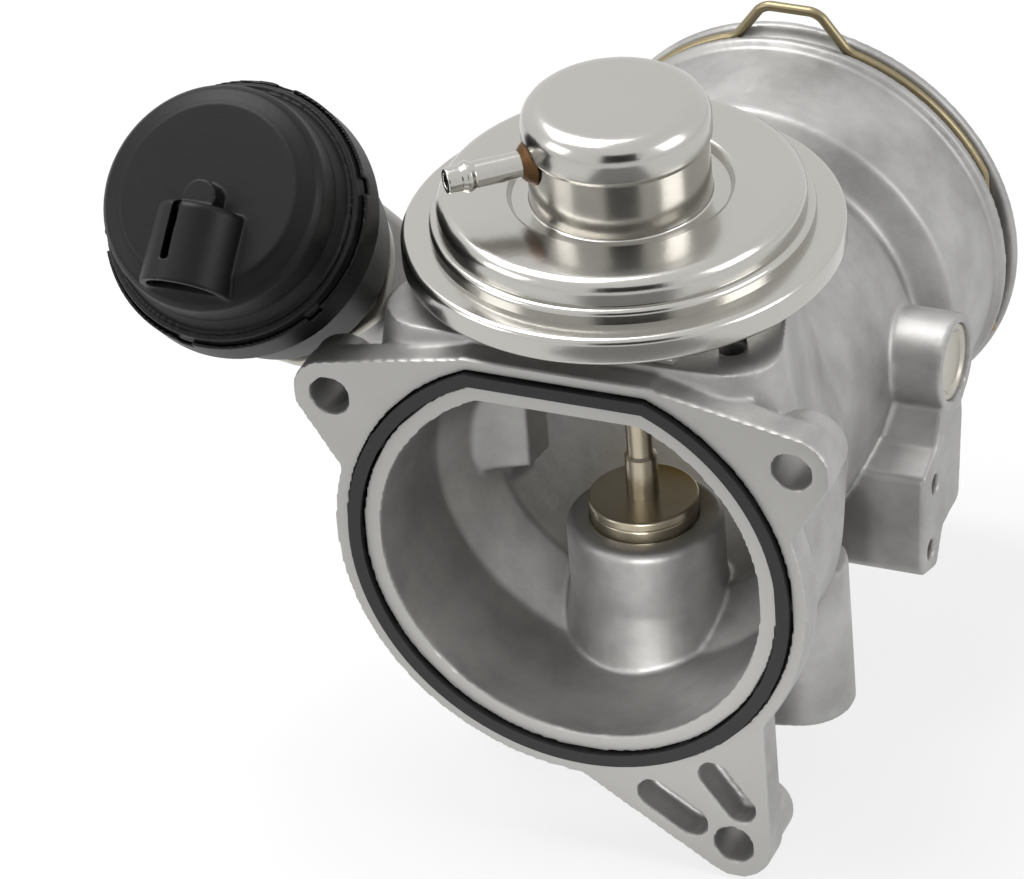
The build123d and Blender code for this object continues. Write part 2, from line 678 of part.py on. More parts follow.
def capsule_diaphragm():
    """Rubber diaphragm with one rolling convolution and a clamped bead."""
    sheet = 0.6
    rim = CAPSULE_R - 2 * SHEET
    clamp_z = LOWER_FLANGE_Z + SHEET / 2 + RUN + sheet / 2
    points = [
        (STEM_R + SEAT, DIAPHRAGM_Z),
        (21.6, DIAPHRAGM_Z),
        (23.6, DIAPHRAGM_Z + 3.2),
        (27.0, DIAPHRAGM_Z + 3.2),
        (28.6, clamp_z),
        (rim, clamp_z),
    ]
    web = sheet_lathe(points, [1.0, 1.3, 1.3, 1.0], sheet)
    bead = ring(rim, CAPSULE_R - 4.0, clamp_z, RIM_TOP_Z - SHEET - RUN)
    return VALVE * (web + bead)


def capsule_spring_cup():
    """Cup above the diaphragm that carries the spring."""
    points = [
        (STEM_R + SEAT, CUP_Z),
        (20.0, CUP_Z),
        (20.0, CUP_Z + SHEET),
        (SPRING_R - 1.9, CUP_Z + SHEET),
        (SPRING_R - 1.9, CUP_Z + SHEET + 1.2),
        (SPRING_R - 2.7, CUP_Z + SHEET + 1.2),
        (SPRING_R - 2.7, CUP_Z + SHEET),
        (STEM_R + SEAT, CUP_Z + SHEET),
    ]
    return VALVE * lathe(points)


def capsule_backing_plate():
    """Plate below the diaphragm."""
    low = DIAPHRAGM_Z - 0.35 - SHEET
    return VALVE * ring(19.0, STEM_R + SEAT, low, low + SHEET)


def capsule_spring():
    """Return spring between the cup and the top of the cap."""
    low = CUP_Z + SHEET + SEAT
    length = CAP_Z - SHEET - SEAT - low
    return VALVE * Pos(0, 0, low) * spring(SPRING_R, SPRING_WIRE_R, length, SPRING_TURNS)


# ---- Throttle ----
def throttle_shaft():
    """Shaft across the duct, slotted for the flap, with flats under its screws."""
    right_end = BOSS_X - PLUG_SUNK - PLUG_T - GAP
    spigot = LEVER_T + 0.6
    shaft = along_x(bar(SHAFT_R, right_end - LEVER_X), LEVER_X, SHAFT_Y)
    shaft += along_x(bar(SPIGOT_R, spigot + 1), LEVER_X - spigot, SHAFT_Y) & spigot_flats()
    slot = Box(2 * (THROAT_R - FLAP_EDGE + SEAT), 4 * SHAFT_R, FLAP_T + 2 * SEAT)
    shaft -= Pos(0, SHAFT_Y, 0) * slot
    for side in (-1, 1):
        place = Pos(side * FLAP_SCREW_X, SHAFT_Y, 0)
        shaft -= place * Pos(0, 0, -10) * bar(FLAP_SCREW_R + SEAT, 20)
        shaft -= place * Pos(0, 0, FLAP_FLAT_Z + 5) * Box(9, 20, 10)
    return shaft


def spigot_flats(extra=0.0):
    """Double-D section of the shaft's lever end."""
    return Pos(LEVER_X, SHAFT_Y, 0) * Rot(X=LEVER_REST) * Box(20, 20, 2 * SPIGOT_FLAT + 2 * extra)


def throttle_flap():
    """Round flap, drawn open, in line with the air stream."""
    radius = THROAT_R - FLAP_EDGE
    disc = Pos(0, 0, -FLAP_T / 2) * bar(radius, FLAP_T)
    disc = fillet(disc.edges().filter_by(GeomType.CIRCLE), 0.5)
    for side in (-1, 1):
        disc -= Pos(side * FLAP_SCREW_X, 0, -5) * bar(FLAP_SCREW_R + SEAT, 10)
    return Pos(0, SHAFT_Y, 0) * disc


def flap_screws():
    """Two screws through the shaft and flap, peened below."""
    points = [
        (0, -SHAFT_R - 0.2),
        (FLAP_SCREW_R, -SHAFT_R - 0.2),
        (FLAP_SCREW_R, FLAP_FLAT_Z + SEAT),
        (FLAP_SCREW_R + 1.6, FLAP_FLAT_Z + SEAT),
        (FLAP_SCREW_R + 1.6, FLAP_FLAT_Z + 1.6),
        (0, FLAP_FLAT_Z + 2.2),
    ]
    screw = lathe(points, [0, 0.3, 0, 0, 0.4, 0])
    screw -= Pos(0, 0, FLAP_FLAT_Z + 2.0) * Box(6, 0.8, 1.6)
    return Compound(children=[Pos(side * FLAP_SCREW_X, SHAFT_Y, 0) * screw for side in (-1, 1)])


def shaft_bush(left):
    """Sintered bush in one bearing boss."""
    start = -LEFT_BOSS_X + SHAFT_SEAL_T if left else BOSS_X - PLUG_SUNK - PLUG_T - BUSH_L
    return along_x(ring(BUSH_R, SHAFT_R + RUN, 0, BUSH_L), start, SHAFT_Y)


def shaft_seal():
    """Lip seal at the lever end of the shaft."""
    points = [
        (SHAFT_R + RUN, 0.8),
        (BUSH_R - 0.9, 0.2),
        (BUSH_R - 0.9, 0),
        (BUSH_R, 0),
        (BUSH_R, SHAFT_SEAL_T - RUN),
        (SHAFT_R + RUN, SHAFT_SEAL_T - RUN),
    ]
    return along_x(lathe(points), -LEFT_BOSS_X, SHAFT_Y)


def shaft_end_plug():
    """Dished plug pressed and staked into the right boss."""
    points = [(0, 0), (PLUG_R, 0), (PLUG_R, PLUG_T), (PLUG_R - 1.0, PLUG_T), (PLUG_R - 1.6, PLUG_T - 0.5)]
    plug = lathe(points + [(0, PLUG_T - 0.5)], [0, 0, 0.3, 0.3, 0.3, 0])
    return along_x(plug, BOSS_X - PLUG_SUNK - PLUG_T, SHAFT_Y)


def lever_frame():
    """Frame of the lever: z points outward along -X, x from the shaft to the pin."""
    turn = radians(LEVER_REST)
    outward = Plane(origin=(LEVER_X, SHAFT_Y, 0), x_dir=(0, cos(turn), sin(turn)), z_dir=(-1, 0, 0))
    return outward.location


def throttle_lever():
    """Lever riveted to the shaft, with a stop finger beside its hub."""
    hub = Circle(SHAFT_R + 3.0)
    tip = Pos(LEVER_ARM, 0) * Circle(PIN_R + 2.6)
    plate = make_hull([*hub.edges(), *tip.edges()])
    finger = Pos(-SHAFT_R - 3.5, 0) * RectangleRounded(9, 4.5, 1.5)
    body = extrude(plate + finger, amount=LEVER_T)
    body -= Pos(LEVER_ARM, 0, -1) * bar(PIN_R + SEAT, 10)
    lever = lever_frame() * body
    hole = along_x(bar(SPIGOT_R + SEAT, 20), LEVER_X - 10, SHAFT_Y) & spigot_flats(SEAT)
    return lever - hole


def lever_pin():
    """Pin riveted in the lever; the rod's eye slides on it."""
    head = 0.8
    end = LEVER_T + EYE_GAP + EYE_T + 2.2
    points = [
        (0, -head),
        (PIN_R + 0.9, -head),
        (PIN_R + 0.9, -SEAT),
        (PIN_R, -SEAT),
        (PIN_R, CLIP_AT - 0.05),
        (PIN_R - 0.6, CLIP_AT - 0.05),
        (PIN_R - 0.6, CLIP_AT + CLIP_T + 0.05),
        (PIN_R, CLIP_AT + CLIP_T + 0.05),
        (PIN_R, end),
        (0, end),
    ]
    pin = lathe(points, [0, 0.2, 0, 0, 0, 0, 0, 0, 0.4, 0])
    return lever_frame() * Pos(LEVER_ARM, 0, 0) * pin


def pin_clip():
    """Open retaining clip in the groove of the pin."""
    plate = Circle(PIN_R + 1.9) - Circle(PIN_R - 0.6 + SEAT)
    plate -= Pos(6, 0) * Rectangle(12, 2 * (PIN_R - 1.0))
    clip = Pos(0, 0, CLIP_AT) * extrude(plate, amount=CLIP_T)
    return lever_frame() * Pos(LEVER_ARM, 0, 0) * clip


# ---- Vacuum can ----
def can_front_cover():
    """Front cover: clamped rim, stepped face and the hooded hose stub."""
    shoulder = CAN_SHOULDER_R
    outside = [
        (0, -0.6),
        (CAN_R - 0.6, -0.6),
        (CAN_R - 0.6, 1.2),
        (CAN_R - 1.9, 2.4),
        (shoulder, CAN_SHOULDER),
        (CAN_FACE_R + 1.5, CAN_FACE - 1.5),
        (CAN_FACE_R, CAN_FACE),
        (0, CAN_FACE),
    ]
    hollow = [
        (0, -1.6),
        (CAN_R - 2.6, -1.6),
        (CAN_R - 2.6, 0.3),
        (CAN_R - 3.8, 1.4),
        (shoulder - CAN_WALL, CAN_SHOULDER - 0.6),
        (CAN_FACE_R + 0.1, CAN_FACE - 3.0),
        (CAN_FACE_R - 1.1, CAN_FACE - CAN_WALL),
        (0, CAN_FACE - CAN_WALL),
    ]
    body = lathe(outside, [0, 0, 0.5, 0.6, 0.8, 0.6, 0.6, 0]) + can_socket()
    return on_can(body - lathe(hollow))


def can_socket():
    """Half-round hood, open below, over the hose stub, and the stub's round root."""
    wall = 1.3
    length = SOCKET_TOP - SOCKET_MOUTH
    legs = CAN_FACE - CAN_SHOULDER
    down = Plane(origin=(0, SOCKET_TOP, CAN_FACE), x_dir=(1, 0, 0), z_dir=(0, -1, 0))
    place = down.location
    outer = Circle(SOCKET_R_OUT) + Pos(0, -legs / 2) * Rectangle(2 * SOCKET_R_OUT, legs)
    outer &= Pos(0, 10 - legs) * Rectangle(40, 20)
    hood = place * extrude(outer, amount=length)
    hood = fillet(hood.edges().filter_by(GeomType.CIRCLE).group_by(Axis.Y)[-1], 1.2)
    room = Circle(SOCKET_R_OUT - wall) & Pos(0, 10) * Rectangle(40, 20)
    hood -= place * Pos(0, 0, wall) * extrude(room, amount=length)
    hood -= Pos(-1.8, SOCKET_TOP - 5.0, CAN_FACE + 8) * Box(1.3, 9.6, 6)
    hood += Pos(0.5, -1.5, CAN_FACE - 1) * bar(2.8, 5.5)
    stub = place * Pos(0, 3.0) * (bar(2.2, length - 1.0) - Pos(0, 0, 2) * bar(1.1, length))
    return hood + stub


def can_rear_housing():
    """Rear housing: ring that grips the cover, tapered shell, stud bosses and nose."""
    w = CAN_WALL
    points = [
        (CAN_R, 1.4),
        (CAN_R, -5.6),
        (CAN_R - 1.8, -6.6),
        (CAN_REAR_R, -CAN_REAR),
        (NOSE_R, -CAN_REAR),
        (NOSE_R, -CAN_REAR - NOSE_L),
        (NOSE_BUSH_R + SEAT, -CAN_REAR - NOSE_L),
        (NOSE_BUSH_R + SEAT, -CAN_REAR + w),
        (CAN_REAR_R - w, -CAN_REAR + w),
        (CAN_R - 1.8 - w, -4.0),
        (CAN_R - 2.6, -4.0),
        (CAN_R - 2.6, -2.2),
        (CAN_R - 0.6 + SEAT, -2.2),
        (CAN_R - 0.6 + SEAT, 1.4),
    ]
    radii = [0, 0.8, 0.6, 2.4, 1.0, 0.4, 0, 0, 1.2, 0, 0, 0, 0, 0]
    body = lathe(points, radii)
    for side in (-1, 1):
        place = Pos(STUD_X, side * STUD_U)
        body += place * ring(STUD_R + 2.2, 0, -BRACKET_S, -CAN_REAR + w)
        body -= place * ring(STUD_R + SEAT, 0, -BRACKET_S - 1, -CAN_REAR + w + 1)
    notch = Pos(CAN_R, 0, 1.0) * Box(3.0, 2.6, 2.6)
    for turn in range(21, 381, 60):
        body -= Rot(Z=turn) * notch
    return on_can(body)


def can_rod_bush():
    """Guide bush for the rod, in the nose of the can."""
    tube = ring(NOSE_BUSH_R, ROD_R + RUN, -CAN_REAR - NOSE_L, -CAN_REAR + CAN_WALL)
    return on_can(tube)


def can_diaphragm():
    """Rolling diaphragm from the clamped rim back to the piston."""
    sheet = 0.6
    back = -PISTON_S - sheet / 2 - SEAT
    points = [
        (ROD_R + SEAT, back),
        (13.9, back),
        (14.7, -9.0),
        (16.0, -6.5),
        (CAN_R - 3.6, -1.4),
        (CAN_R - 0.9, -1.4),
    ]
    return on_can(sheet_lathe(points, [1.0, 1.0, 1.0, 0.8], sheet))


def can_piston():
    """Piston plate on the rod, with a lip that centres the spring."""
    front = -PISTON_S + 1.5
    points = [
        (ROD_R + SEAT, -PISTON_S),
        (13.5, -PISTON_S),
        (13.5, front + 2.5),
        (12.4, front + 2.5),
        (12.4, front),
        (ROD_R + SEAT, front),
    ]
    return on_can(lathe(points, [0, 0.6, 0.3, 0.3, 0, 0]))


def can_spring():
    """Spring that pushes the piston back and holds the flap open."""
    low = -PISTON_S + 1.5 + SEAT
    length = CAN_FACE - CAN_WALL - SEAT - low
    coil = spring(CAN_SPRING_R, CAN_SPRING_WIRE, length, CAN_SPRING_TURNS)
    return on_can(Pos(0, 0, low) * coil)


def actuator_rod():
    """Joggled rod from the piston to the eye."""
    head_s = PISTON_S - 1.5 - SEAT
    points = [
        (0, 0, -head_s),
        (0, 0, -JOG_START),
        (EYE_DX, SLOT_U, -JOG_END),
        (EYE_DX, SLOT_U, -PIN_S + 6.4),
    ]
    path = FilletPolyline(*points, radius=9.0)
    rod = sweep(Plane(origin=path @ 0, z_dir=path % 0) * Circle(ROD_R), path=path)
    collar_s = PISTON_S + 0.6 + 3 * SEAT
    rod += ring(ROD_R + 1.6, 0, -collar_s - 1.0, -collar_s)
    rod += ring(ROD_R + 1.6, 0, -head_s, -head_s + 1.0)
    return on_can(rod)


def rod_eye():
    """Flattened eye crimped on the rod, slotted across the stroke."""
    tall = 2 * SLOT_HALF + 5.0
    deep = 2 * (PIN_R + SLOT_SIDE) + 5.2
    face = RectangleRounded(tall, deep, 3.4) - SlotOverall(2 * SLOT_HALF, 2 * (PIN_R + SLOT_SIDE))
    side = Plane(origin=(EYE_DX - EYE_T / 2, SLOT_U, -PIN_S), x_dir=(0, 1, 0), z_dir=(1, 0, 0))
    eye = side.location * extrude(face, amount=EYE_T)
    start = -PIN_S + deep / 2 - 0.4
    shank = Pos(EYE_DX, SLOT_U) * ring(ROD_R + 0.9, 0, start, -JOG_END - 3.0)
    hole = Pos(EYE_DX, SLOT_U) * ring(ROD_R + SEAT, 0, -PIN_S + 6.2, -JOG_END)
    return on_can(eye + shank - hole)


def can_studs():
    """Two mounting studs moulded into the rear housing."""
    stud = ring(STUD_R, 0, -BRACKET_S - BRACKET_T - 6.0, -CAN_REAR + CAN_WALL + 1.0)
    head = ring(STUD_R + 1.6, 0, -CAN_REAR + CAN_WALL + SEAT, -CAN_REAR + CAN_WALL + 1.6)
    places = [Pos(STUD_X, side * STUD_U) for side in (-1, 1)]
    return Compound(children=[on_can(place * (stud + head)) for place in places])


def can_nuts():
    """Two M5 flange nuts behind the bracket."""
    back = -BRACKET_S - BRACKET_T
    nut = Pos(0, 0, back - 4.4) * extrude(RegularPolygon(4.0, 6, major_radius=False), amount=3.6)
    nut += ring(4.9, 0, back - 0.9, back - SEAT)
    nut -= ring(STUD_R + SEAT, 0, back - 5, back + 1)
    return Compound(children=[on_can(Pos(STUD_X, side * STUD_U) * nut) for side in (-1, 1)])


def can_bracket():
    """Steel bracket plate between the can and the arm of the casting."""
    hub = Circle(15.8)
    foot = Pos(11.3, -4.0) * Circle(5.0)
    toe = Pos(3.3, -11.5) * Circle(4.8)
    plate = make_hull([edge for circle in (hub, foot, toe) for edge in circle.edges()])
    plate -= Circle(NOSE_R + 0.15)
    for side in (-1, 1):
        plate -= Pos(STUD_X, side * STUD_U) * Circle(STUD_R + 0.2)
    for x, u in ARM_SCREWS:
        plate -= Pos(x, u) * Circle(SCREW_R + 0.2)
    return on_can(Pos(0, 0, -BRACKET_S - BRACKET_T) * extrude(plate, amount=BRACKET_T))


def bracket_screws():
    """Two screws that hold the bracket on the arm."""
    head = 2.4
    screw = ring(4.0, 0, -BRACKET_S + SEAT, -BRACKET_S + head)
    screw = fillet(screw.edges().group_by(Axis.Z)[-1], 0.8)
    screw -= Pos(0, 0, -BRACKET_S + head - 1.4) * extrude(RegularPolygon(2.1, 6), amount=3)
    screw += ring(SCREW_R * 0.84 - SEAT, 0, -BRACKET_S - BRACKET_T - 9.0, -BRACKET_S + SEAT)
    return Compound(children=[on_can(Pos(x, u) * screw) for x, u in ARM_SCREWS])


# ---- Wire clip of the hose collar ----
def hose_clip():
    """Spring wire clip: two legs through the collar slots and a raised finger loop."""
    seat = CLIP_SEAT_R + CLIP_WIRE_R + 0.2
    top = sqrt(seat**2 - CLIP_LEG_X**2)
    foot_z = sqrt(seat**2 - LOOP_X**2)
    arc_from = Vector(CLIP_LEG_X, top).get_angle(Vector(1, 0))
    arc_to = Vector(LOOP_X, foot_z).get_angle(Vector(1, 0))
    half = [
        Line((CLIP_LEG_X + 5.0, -top - 4.6), (CLIP_LEG_X, -top - 1.6)),
        Line((CLIP_LEG_X, -top - 1.6), (CLIP_LEG_X, top)),
        CenterArc((0, 0), seat, arc_from, arc_to - arc_from),
        Line((LOOP_X, foot_z), (LOOP_X / 2, seat + LOOP_RISE)),
    ]
    other = [mirror(edge, Plane.YZ) for edge in half]
    bridge = Line((LOOP_X / 2, seat + LOOP_RISE), (-LOOP_X / 2, seat + LOOP_RISE))
    wire = Wire([e for piece in half + [bridge] + other for e in piece.edges()])
    corners = [v for v in wire.vertices() if abs(v.Z) < 1 and abs(v.Y + top + 4.6) > 0.1]
    path = wire.fillet_2d(CLIP_BEND, corners)
    start = path @ 0
    section = Plane(origin=start, z_dir=path % 0) * Circle(CLIP_WIRE_R)
    flat = sweep(section, path=path)
    return Pos(0, CLIP_Y, 0) * Rot(X=90) * flat


PIECES = {
    "main_housing": main_housing,
    "manifold_seal": manifold_seal,
    "egr_seat_ring": egr_seat_ring,
    "egr_valve_disc": egr_valve_disc,
    "egr_valve_stem": egr_valve_stem,
    "stem_guide_bush": stem_guide_bush,
    "stem_seal": stem_seal,
    "capsule_mount_plate": capsule_mount_plate,
    "capsule_mount_screws": capsule_mount_screws,
    "capsule_lower_shell": capsule_lower_shell,
    "capsule_upper_shell": capsule_upper_shell,
    "capsule_diaphragm": capsule_diaphragm,
    "capsule_spring_cup": capsule_spring_cup,
    "capsule_backing_plate": capsule_backing_plate,
    "capsule_spring": capsule_spring,
    "vacuum_nipple": vacuum_nipple,
    "nipple_braze": nipple_braze,
    "throttle_shaft": throttle_shaft,
    "throttle_flap": throttle_flap,
    "flap_screws": flap_screws,
    "shaft_bush_left": lambda: shaft_bush(True),
    "shaft_bush_right": lambda: shaft_bush(False),
    "shaft_seal": shaft_seal,
    "shaft_end_plug": shaft_end_plug,
    "throttle_lever": throttle_lever,
    "lever_pin": lever_pin,
    "pin_clip": pin_clip,
    "can_front_cover": can_front_cover,
    "can_rear_housing": can_rear_housing,
    "can_rod_bush": can_rod_bush,
    "can_diaphragm": can_diaphragm,
    "can_piston": can_piston,
    "can_spring": can_spring,
    "actuator_rod": actuator_rod,
    "rod_eye": rod_eye,
    "can_studs": can_studs,
    "can_nuts": can_nuts,
    "can_bracket": can_bracket,
    "bracket_screws": bracket_screws,
    "hose_clip": hose_clip,
}

if __name__ == "__main__":
    for name, make in PIECES.items():
        export_step(make(), f"parts/{name}.step")
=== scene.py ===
import bmesh
import bpy
import json
import math
from mathutils import Matrix, Vector


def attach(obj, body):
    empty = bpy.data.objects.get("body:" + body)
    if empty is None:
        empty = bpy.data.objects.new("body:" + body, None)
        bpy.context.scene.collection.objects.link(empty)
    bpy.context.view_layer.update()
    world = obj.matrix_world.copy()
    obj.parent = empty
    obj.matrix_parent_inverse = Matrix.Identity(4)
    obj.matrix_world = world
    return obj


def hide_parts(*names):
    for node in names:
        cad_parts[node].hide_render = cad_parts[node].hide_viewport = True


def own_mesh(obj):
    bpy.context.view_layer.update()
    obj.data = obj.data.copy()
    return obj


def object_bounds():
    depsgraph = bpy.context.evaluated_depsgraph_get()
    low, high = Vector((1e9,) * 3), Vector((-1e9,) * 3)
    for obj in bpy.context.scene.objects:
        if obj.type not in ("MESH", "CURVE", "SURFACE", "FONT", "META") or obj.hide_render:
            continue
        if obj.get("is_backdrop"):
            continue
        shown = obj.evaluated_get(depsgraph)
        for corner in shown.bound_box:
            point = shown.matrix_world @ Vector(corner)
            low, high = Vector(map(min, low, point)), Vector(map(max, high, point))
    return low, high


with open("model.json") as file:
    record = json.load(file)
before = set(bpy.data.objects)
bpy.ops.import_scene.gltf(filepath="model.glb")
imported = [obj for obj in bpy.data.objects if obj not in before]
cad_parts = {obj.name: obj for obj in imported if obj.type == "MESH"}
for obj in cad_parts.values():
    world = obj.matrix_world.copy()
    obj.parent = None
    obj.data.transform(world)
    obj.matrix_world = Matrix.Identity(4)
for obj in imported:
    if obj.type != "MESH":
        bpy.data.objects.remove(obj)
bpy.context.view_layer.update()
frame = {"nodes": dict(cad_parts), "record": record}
nodes = frame["nodes"]
MM = 0.001

# ---- Places of the frame, in millimetres ----
VALVE_Y = 31.2             # valve axis, along the duct
SHAFT_Y = 72.0             # throttle shaft, along the duct
CLIP_Y = 105.1             # plane of the wire clip
CAN_PLACE = (-57.1, 11.5, 48.3)
CAN_TILT = 46.5            # degrees that the can faces up from the front


# ---- Small helpers ----
def deselect_all():
    """Leave nothing selected."""
    for other in bpy.context.selected_objects:
        other.select_set(False)


def make_active(piece):
    """Select one piece alone."""
    deselect_all()
    piece.select_set(True)
    bpy.context.view_layer.objects.active = piece


def colour(hex_value):
    """sRGB hex value as a linear colour."""
    parts = [int(hex_value[i:i + 2], 16) / 255 for i in (1, 3, 5)]
    linear = [c / 12.92 if c <= 0.04045 else ((c + 0.055) / 1.055) ** 2.4 for c in parts]
    return (*linear, 1.0)


def add(material, kind, settings=None, links=None, **attributes):
    """Add one shader node with its settings and the sockets that feed it."""
    tree = material.node_tree
    node = tree.nodes.new(kind)
    for name, value in attributes.items():
        setattr(node, name, value)
    for name, value in (settings or {}).items():
        node.inputs[name].default_value = value
    for name, source in (links or {}).items():
        tree.links.new(source, node.inputs[name])
    return node


def spots(size):
    """Noise scale, to the nearest whole number, that gives spots of a size in millimetres."""
    return round(1.0 / (size * MM))


def new_material(name):
    """Empty node material."""
    material = bpy.data.materials.new(name)
    material.use_nodes = True
    material.node_tree.nodes.clear()
    return material


def finish_material(material, settings, links):
    """Principled surface and output at the end of a material."""
    surface = add(material, "ShaderNodeBsdfPrincipled", settings, links)
    add(material, "ShaderNodeOutputMaterial", None, {"Surface": surface.outputs["BSDF"]})
    return material


# ---- Materials ----
FACED_FROM, FACED_FULL = 0.6, 0.3   # depths in mm between which the flange's milled face fades in
MIX_A, MIX_B = 6, 7                 # colour sockets of a Mix node
MIX_RESULT = 2


def die_cast_aluminium():
    """Die-cast aluminium, tumbled: satin grey, faintly cloudy, fine dents, a paler milled flange."""
    m = new_material("die_cast_aluminium")
    place = add(m, "ShaderNodeTexCoord").outputs["Object"]
    clouds = add(m, "ShaderNodeTexNoise", {"Scale": spots(14.3), "Detail": 4.0, "Roughness": 0.6},
                 {"Vector": place})
    tone = add(m, "ShaderNodeValToRGB", None, {"Fac": clouds.outputs["Fac"]})
    tone.color_ramp.elements[0].position = 0.35
    tone.color_ramp.elements[0].color = colour("#989795")
    tone.color_ramp.elements[1].position = 0.68
    tone.color_ramp.elements[1].color = colour("#B3B2B0")
    rough = add(m, "ShaderNodeMapRange", {"To Min": 0.42, "To Max": 0.58}, {"Value": clouds.outputs["Fac"]})
    axes = add(m, "ShaderNodeSeparateXYZ", None, {"Vector": place})
    faced = add(m, "ShaderNodeMapRange", {"From Min": FACED_FROM * MM, "From Max": FACED_FULL * MM},
                {"Value": axes.outputs["Y"]})
    shade = add(m, "ShaderNodeMix", {MIX_B: colour("#AFAEAB")},
                {"Factor": faced.outputs["Result"], MIX_A: tone.outputs["Color"]}, data_type="RGBA")
    grain = add(m, "ShaderNodeTexNoise", {"Scale": spots(0.7143), "Detail": 3.0, "Roughness": 0.6},
                {"Vector": place})
    dents = add(m, "ShaderNodeTexNoise", {"Scale": spots(4.17), "Detail": 2.0}, {"Vector": place})
    fine = add(m, "ShaderNodeBump", {"Strength": 0.25, "Distance": 0.08 * MM},
               {"Height": grain.outputs["Fac"]})
    bump = add(m, "ShaderNodeBump", {"Strength": 0.25, "Distance": 0.3 * MM},
               {"Height": dents.outputs["Fac"], "Normal": fine.outputs["Normal"]})
    return finish_material(m, {"Metallic": 0.85}, {
        "Base Color": shade.outputs[MIX_RESULT],
        "Roughness": rough.outputs["Result"],
        "Normal": bump.outputs["Normal"],
    })


def pressed_stainless():
    """Deep-drawn stainless sheet: bright satin, soft cloudy gloss."""
    m = new_material("pressed_stainless")
    place = add(m, "ShaderNodeTexCoord").outputs["Object"]
    clouds = add(m, "ShaderNodeTexNoise", {"Scale": spots(16.7), "Detail": 3.0}, {"Vector": place})
    rough = add(m, "ShaderNodeMapRange", {"To Min": 0.14, "To Max": 0.24}, {"Value": clouds.outputs["Fac"]})
    grain = add(m, "ShaderNodeTexNoise", {"Scale": spots(1.111), "Detail": 2.0}, {"Vector": place})
    bump = add(m, "ShaderNodeBump", {"Strength": 0.12, "Distance": 0.1 * MM},
               {"Height": grain.outputs["Fac"]})
    return finish_material(m, {"Metallic": 1.0, "Base Color": colour("#B9B7B2")}, {
        "Roughness": rough.outputs["Result"], "Normal": bump.outputs["Normal"],
    })


def turned_valve_steel():
    """Turned heat-resisting steel, faintly golden from heat."""
    m = new_material("turned_valve_steel")
    place = add(m, "ShaderNodeTexCoord").outputs["Object"]
    clouds = add(m, "ShaderNodeTexNoise", {"Scale": spots(8.33), "Detail": 3.0}, {"Vector": place})
    tone = add(m, "ShaderNodeValToRGB", None, {"Fac": clouds.outputs["Fac"]})
    tone.color_ramp.elements[0].color = colour("#A89C84")
    tone.color_ramp.elements[1].color = colour("#C6BFAE")
    return finish_material(m, {"Metallic": 1.0, "Roughness": 0.28}, {"Base Color": tone.outputs["Color"]})


def zinc_steel():
    """Zinc-plated steel: slightly warm, cloudy satin."""
    m = new_material("zinc_plated_steel")
    place = add(m, "ShaderNodeTexCoord").outputs["Object"]
    clouds = add(m, "ShaderNodeTexNoise", {"Scale": spots(5.0), "Detail": 4.0}, {"Vector": place})
    tone = add(m, "ShaderNodeValToRGB", None, {"Fac": clouds.outputs["Fac"]})
    tone.color_ramp.elements[0].color = colour("#A5A198")
    tone.color_ramp.elements[1].color = colour("#C3BFB4")
    return finish_material(m, {"Metallic": 1.0, "Roughness": 0.36}, {"Base Color": tone.outputs["Color"]})


def plain_metal(name, tone, roughness):
    """Bare metal of one tone, its gloss slightly uneven."""
    m = new_material(name)
    place = add(m, "ShaderNodeTexCoord").outputs["Object"]
    clouds = add(m, "ShaderNodeTexNoise", {"Scale": spots(3.33), "Detail": 3.0}, {"Vector": place})
    rough = add(m, "ShaderNodeMapRange", {"To Min": roughness - 0.05, "To Max": roughness + 0.07},
                {"Value": clouds.outputs["Fac"]})
    return finish_material(m, {"Metallic": 1.0, "Base Color": colour(tone)},
                           {"Roughness": rough.outputs["Result"]})


def moulded_black():
    """Glass-filled nylon, moulded: near black, silky, with a fine grain."""
    m = new_material("moulded_black_nylon")
    place = add(m, "ShaderNodeTexCoord").outputs["Object"]
    clouds = add(m, "ShaderNodeTexNoise", {"Scale": spots(11.1), "Detail": 4.0}, {"Vector": place})
    tone = add(m, "ShaderNodeValToRGB", None, {"Fac": clouds.outputs["Fac"]})
    tone.color_ramp.elements[0].color = colour("#060607")
    tone.color_ramp.elements[1].color = colour("#0B0B0C")
    rough = add(m, "ShaderNodeMapRange", {"To Min": 0.38, "To Max": 0.52}, {"Value": clouds.outputs["Fac"]})
    grain = add(m, "ShaderNodeTexNoise", {"Scale": spots(0.833), "Detail": 2.0}, {"Vector": place})
    bump = add(m, "ShaderNodeBump", {"Strength": 0.2, "Distance": 0.1 * MM},
               {"Height": grain.outputs["Fac"]})
    return finish_material(m, {"IOR": 1.45, "Specular IOR Level": 0.28}, {
        "Base Color": tone.outputs["Color"],
        "Roughness": rough.outputs["Result"],
        "Normal": bump.outputs["Normal"],
    })


def black_rubber():
    """Moulded nitrile rubber: dull black."""
    m = new_material("moulded_rubber")
    place = add(m, "ShaderNodeTexCoord").outputs["Object"]
    grain = add(m, "ShaderNodeTexNoise", {"Scale": spots(1.25), "Detail": 2.0}, {"Vector": place})
    bump = add(m, "ShaderNodeBump", {"Strength": 0.2, "Distance": 0.1 * MM},
               {"Height": grain.outputs["Fac"]})
    return finish_material(m, {"Base Color": colour("#0E0E0F"), "Roughness": 0.5},
                           {"Normal": bump.outputs["Normal"]})


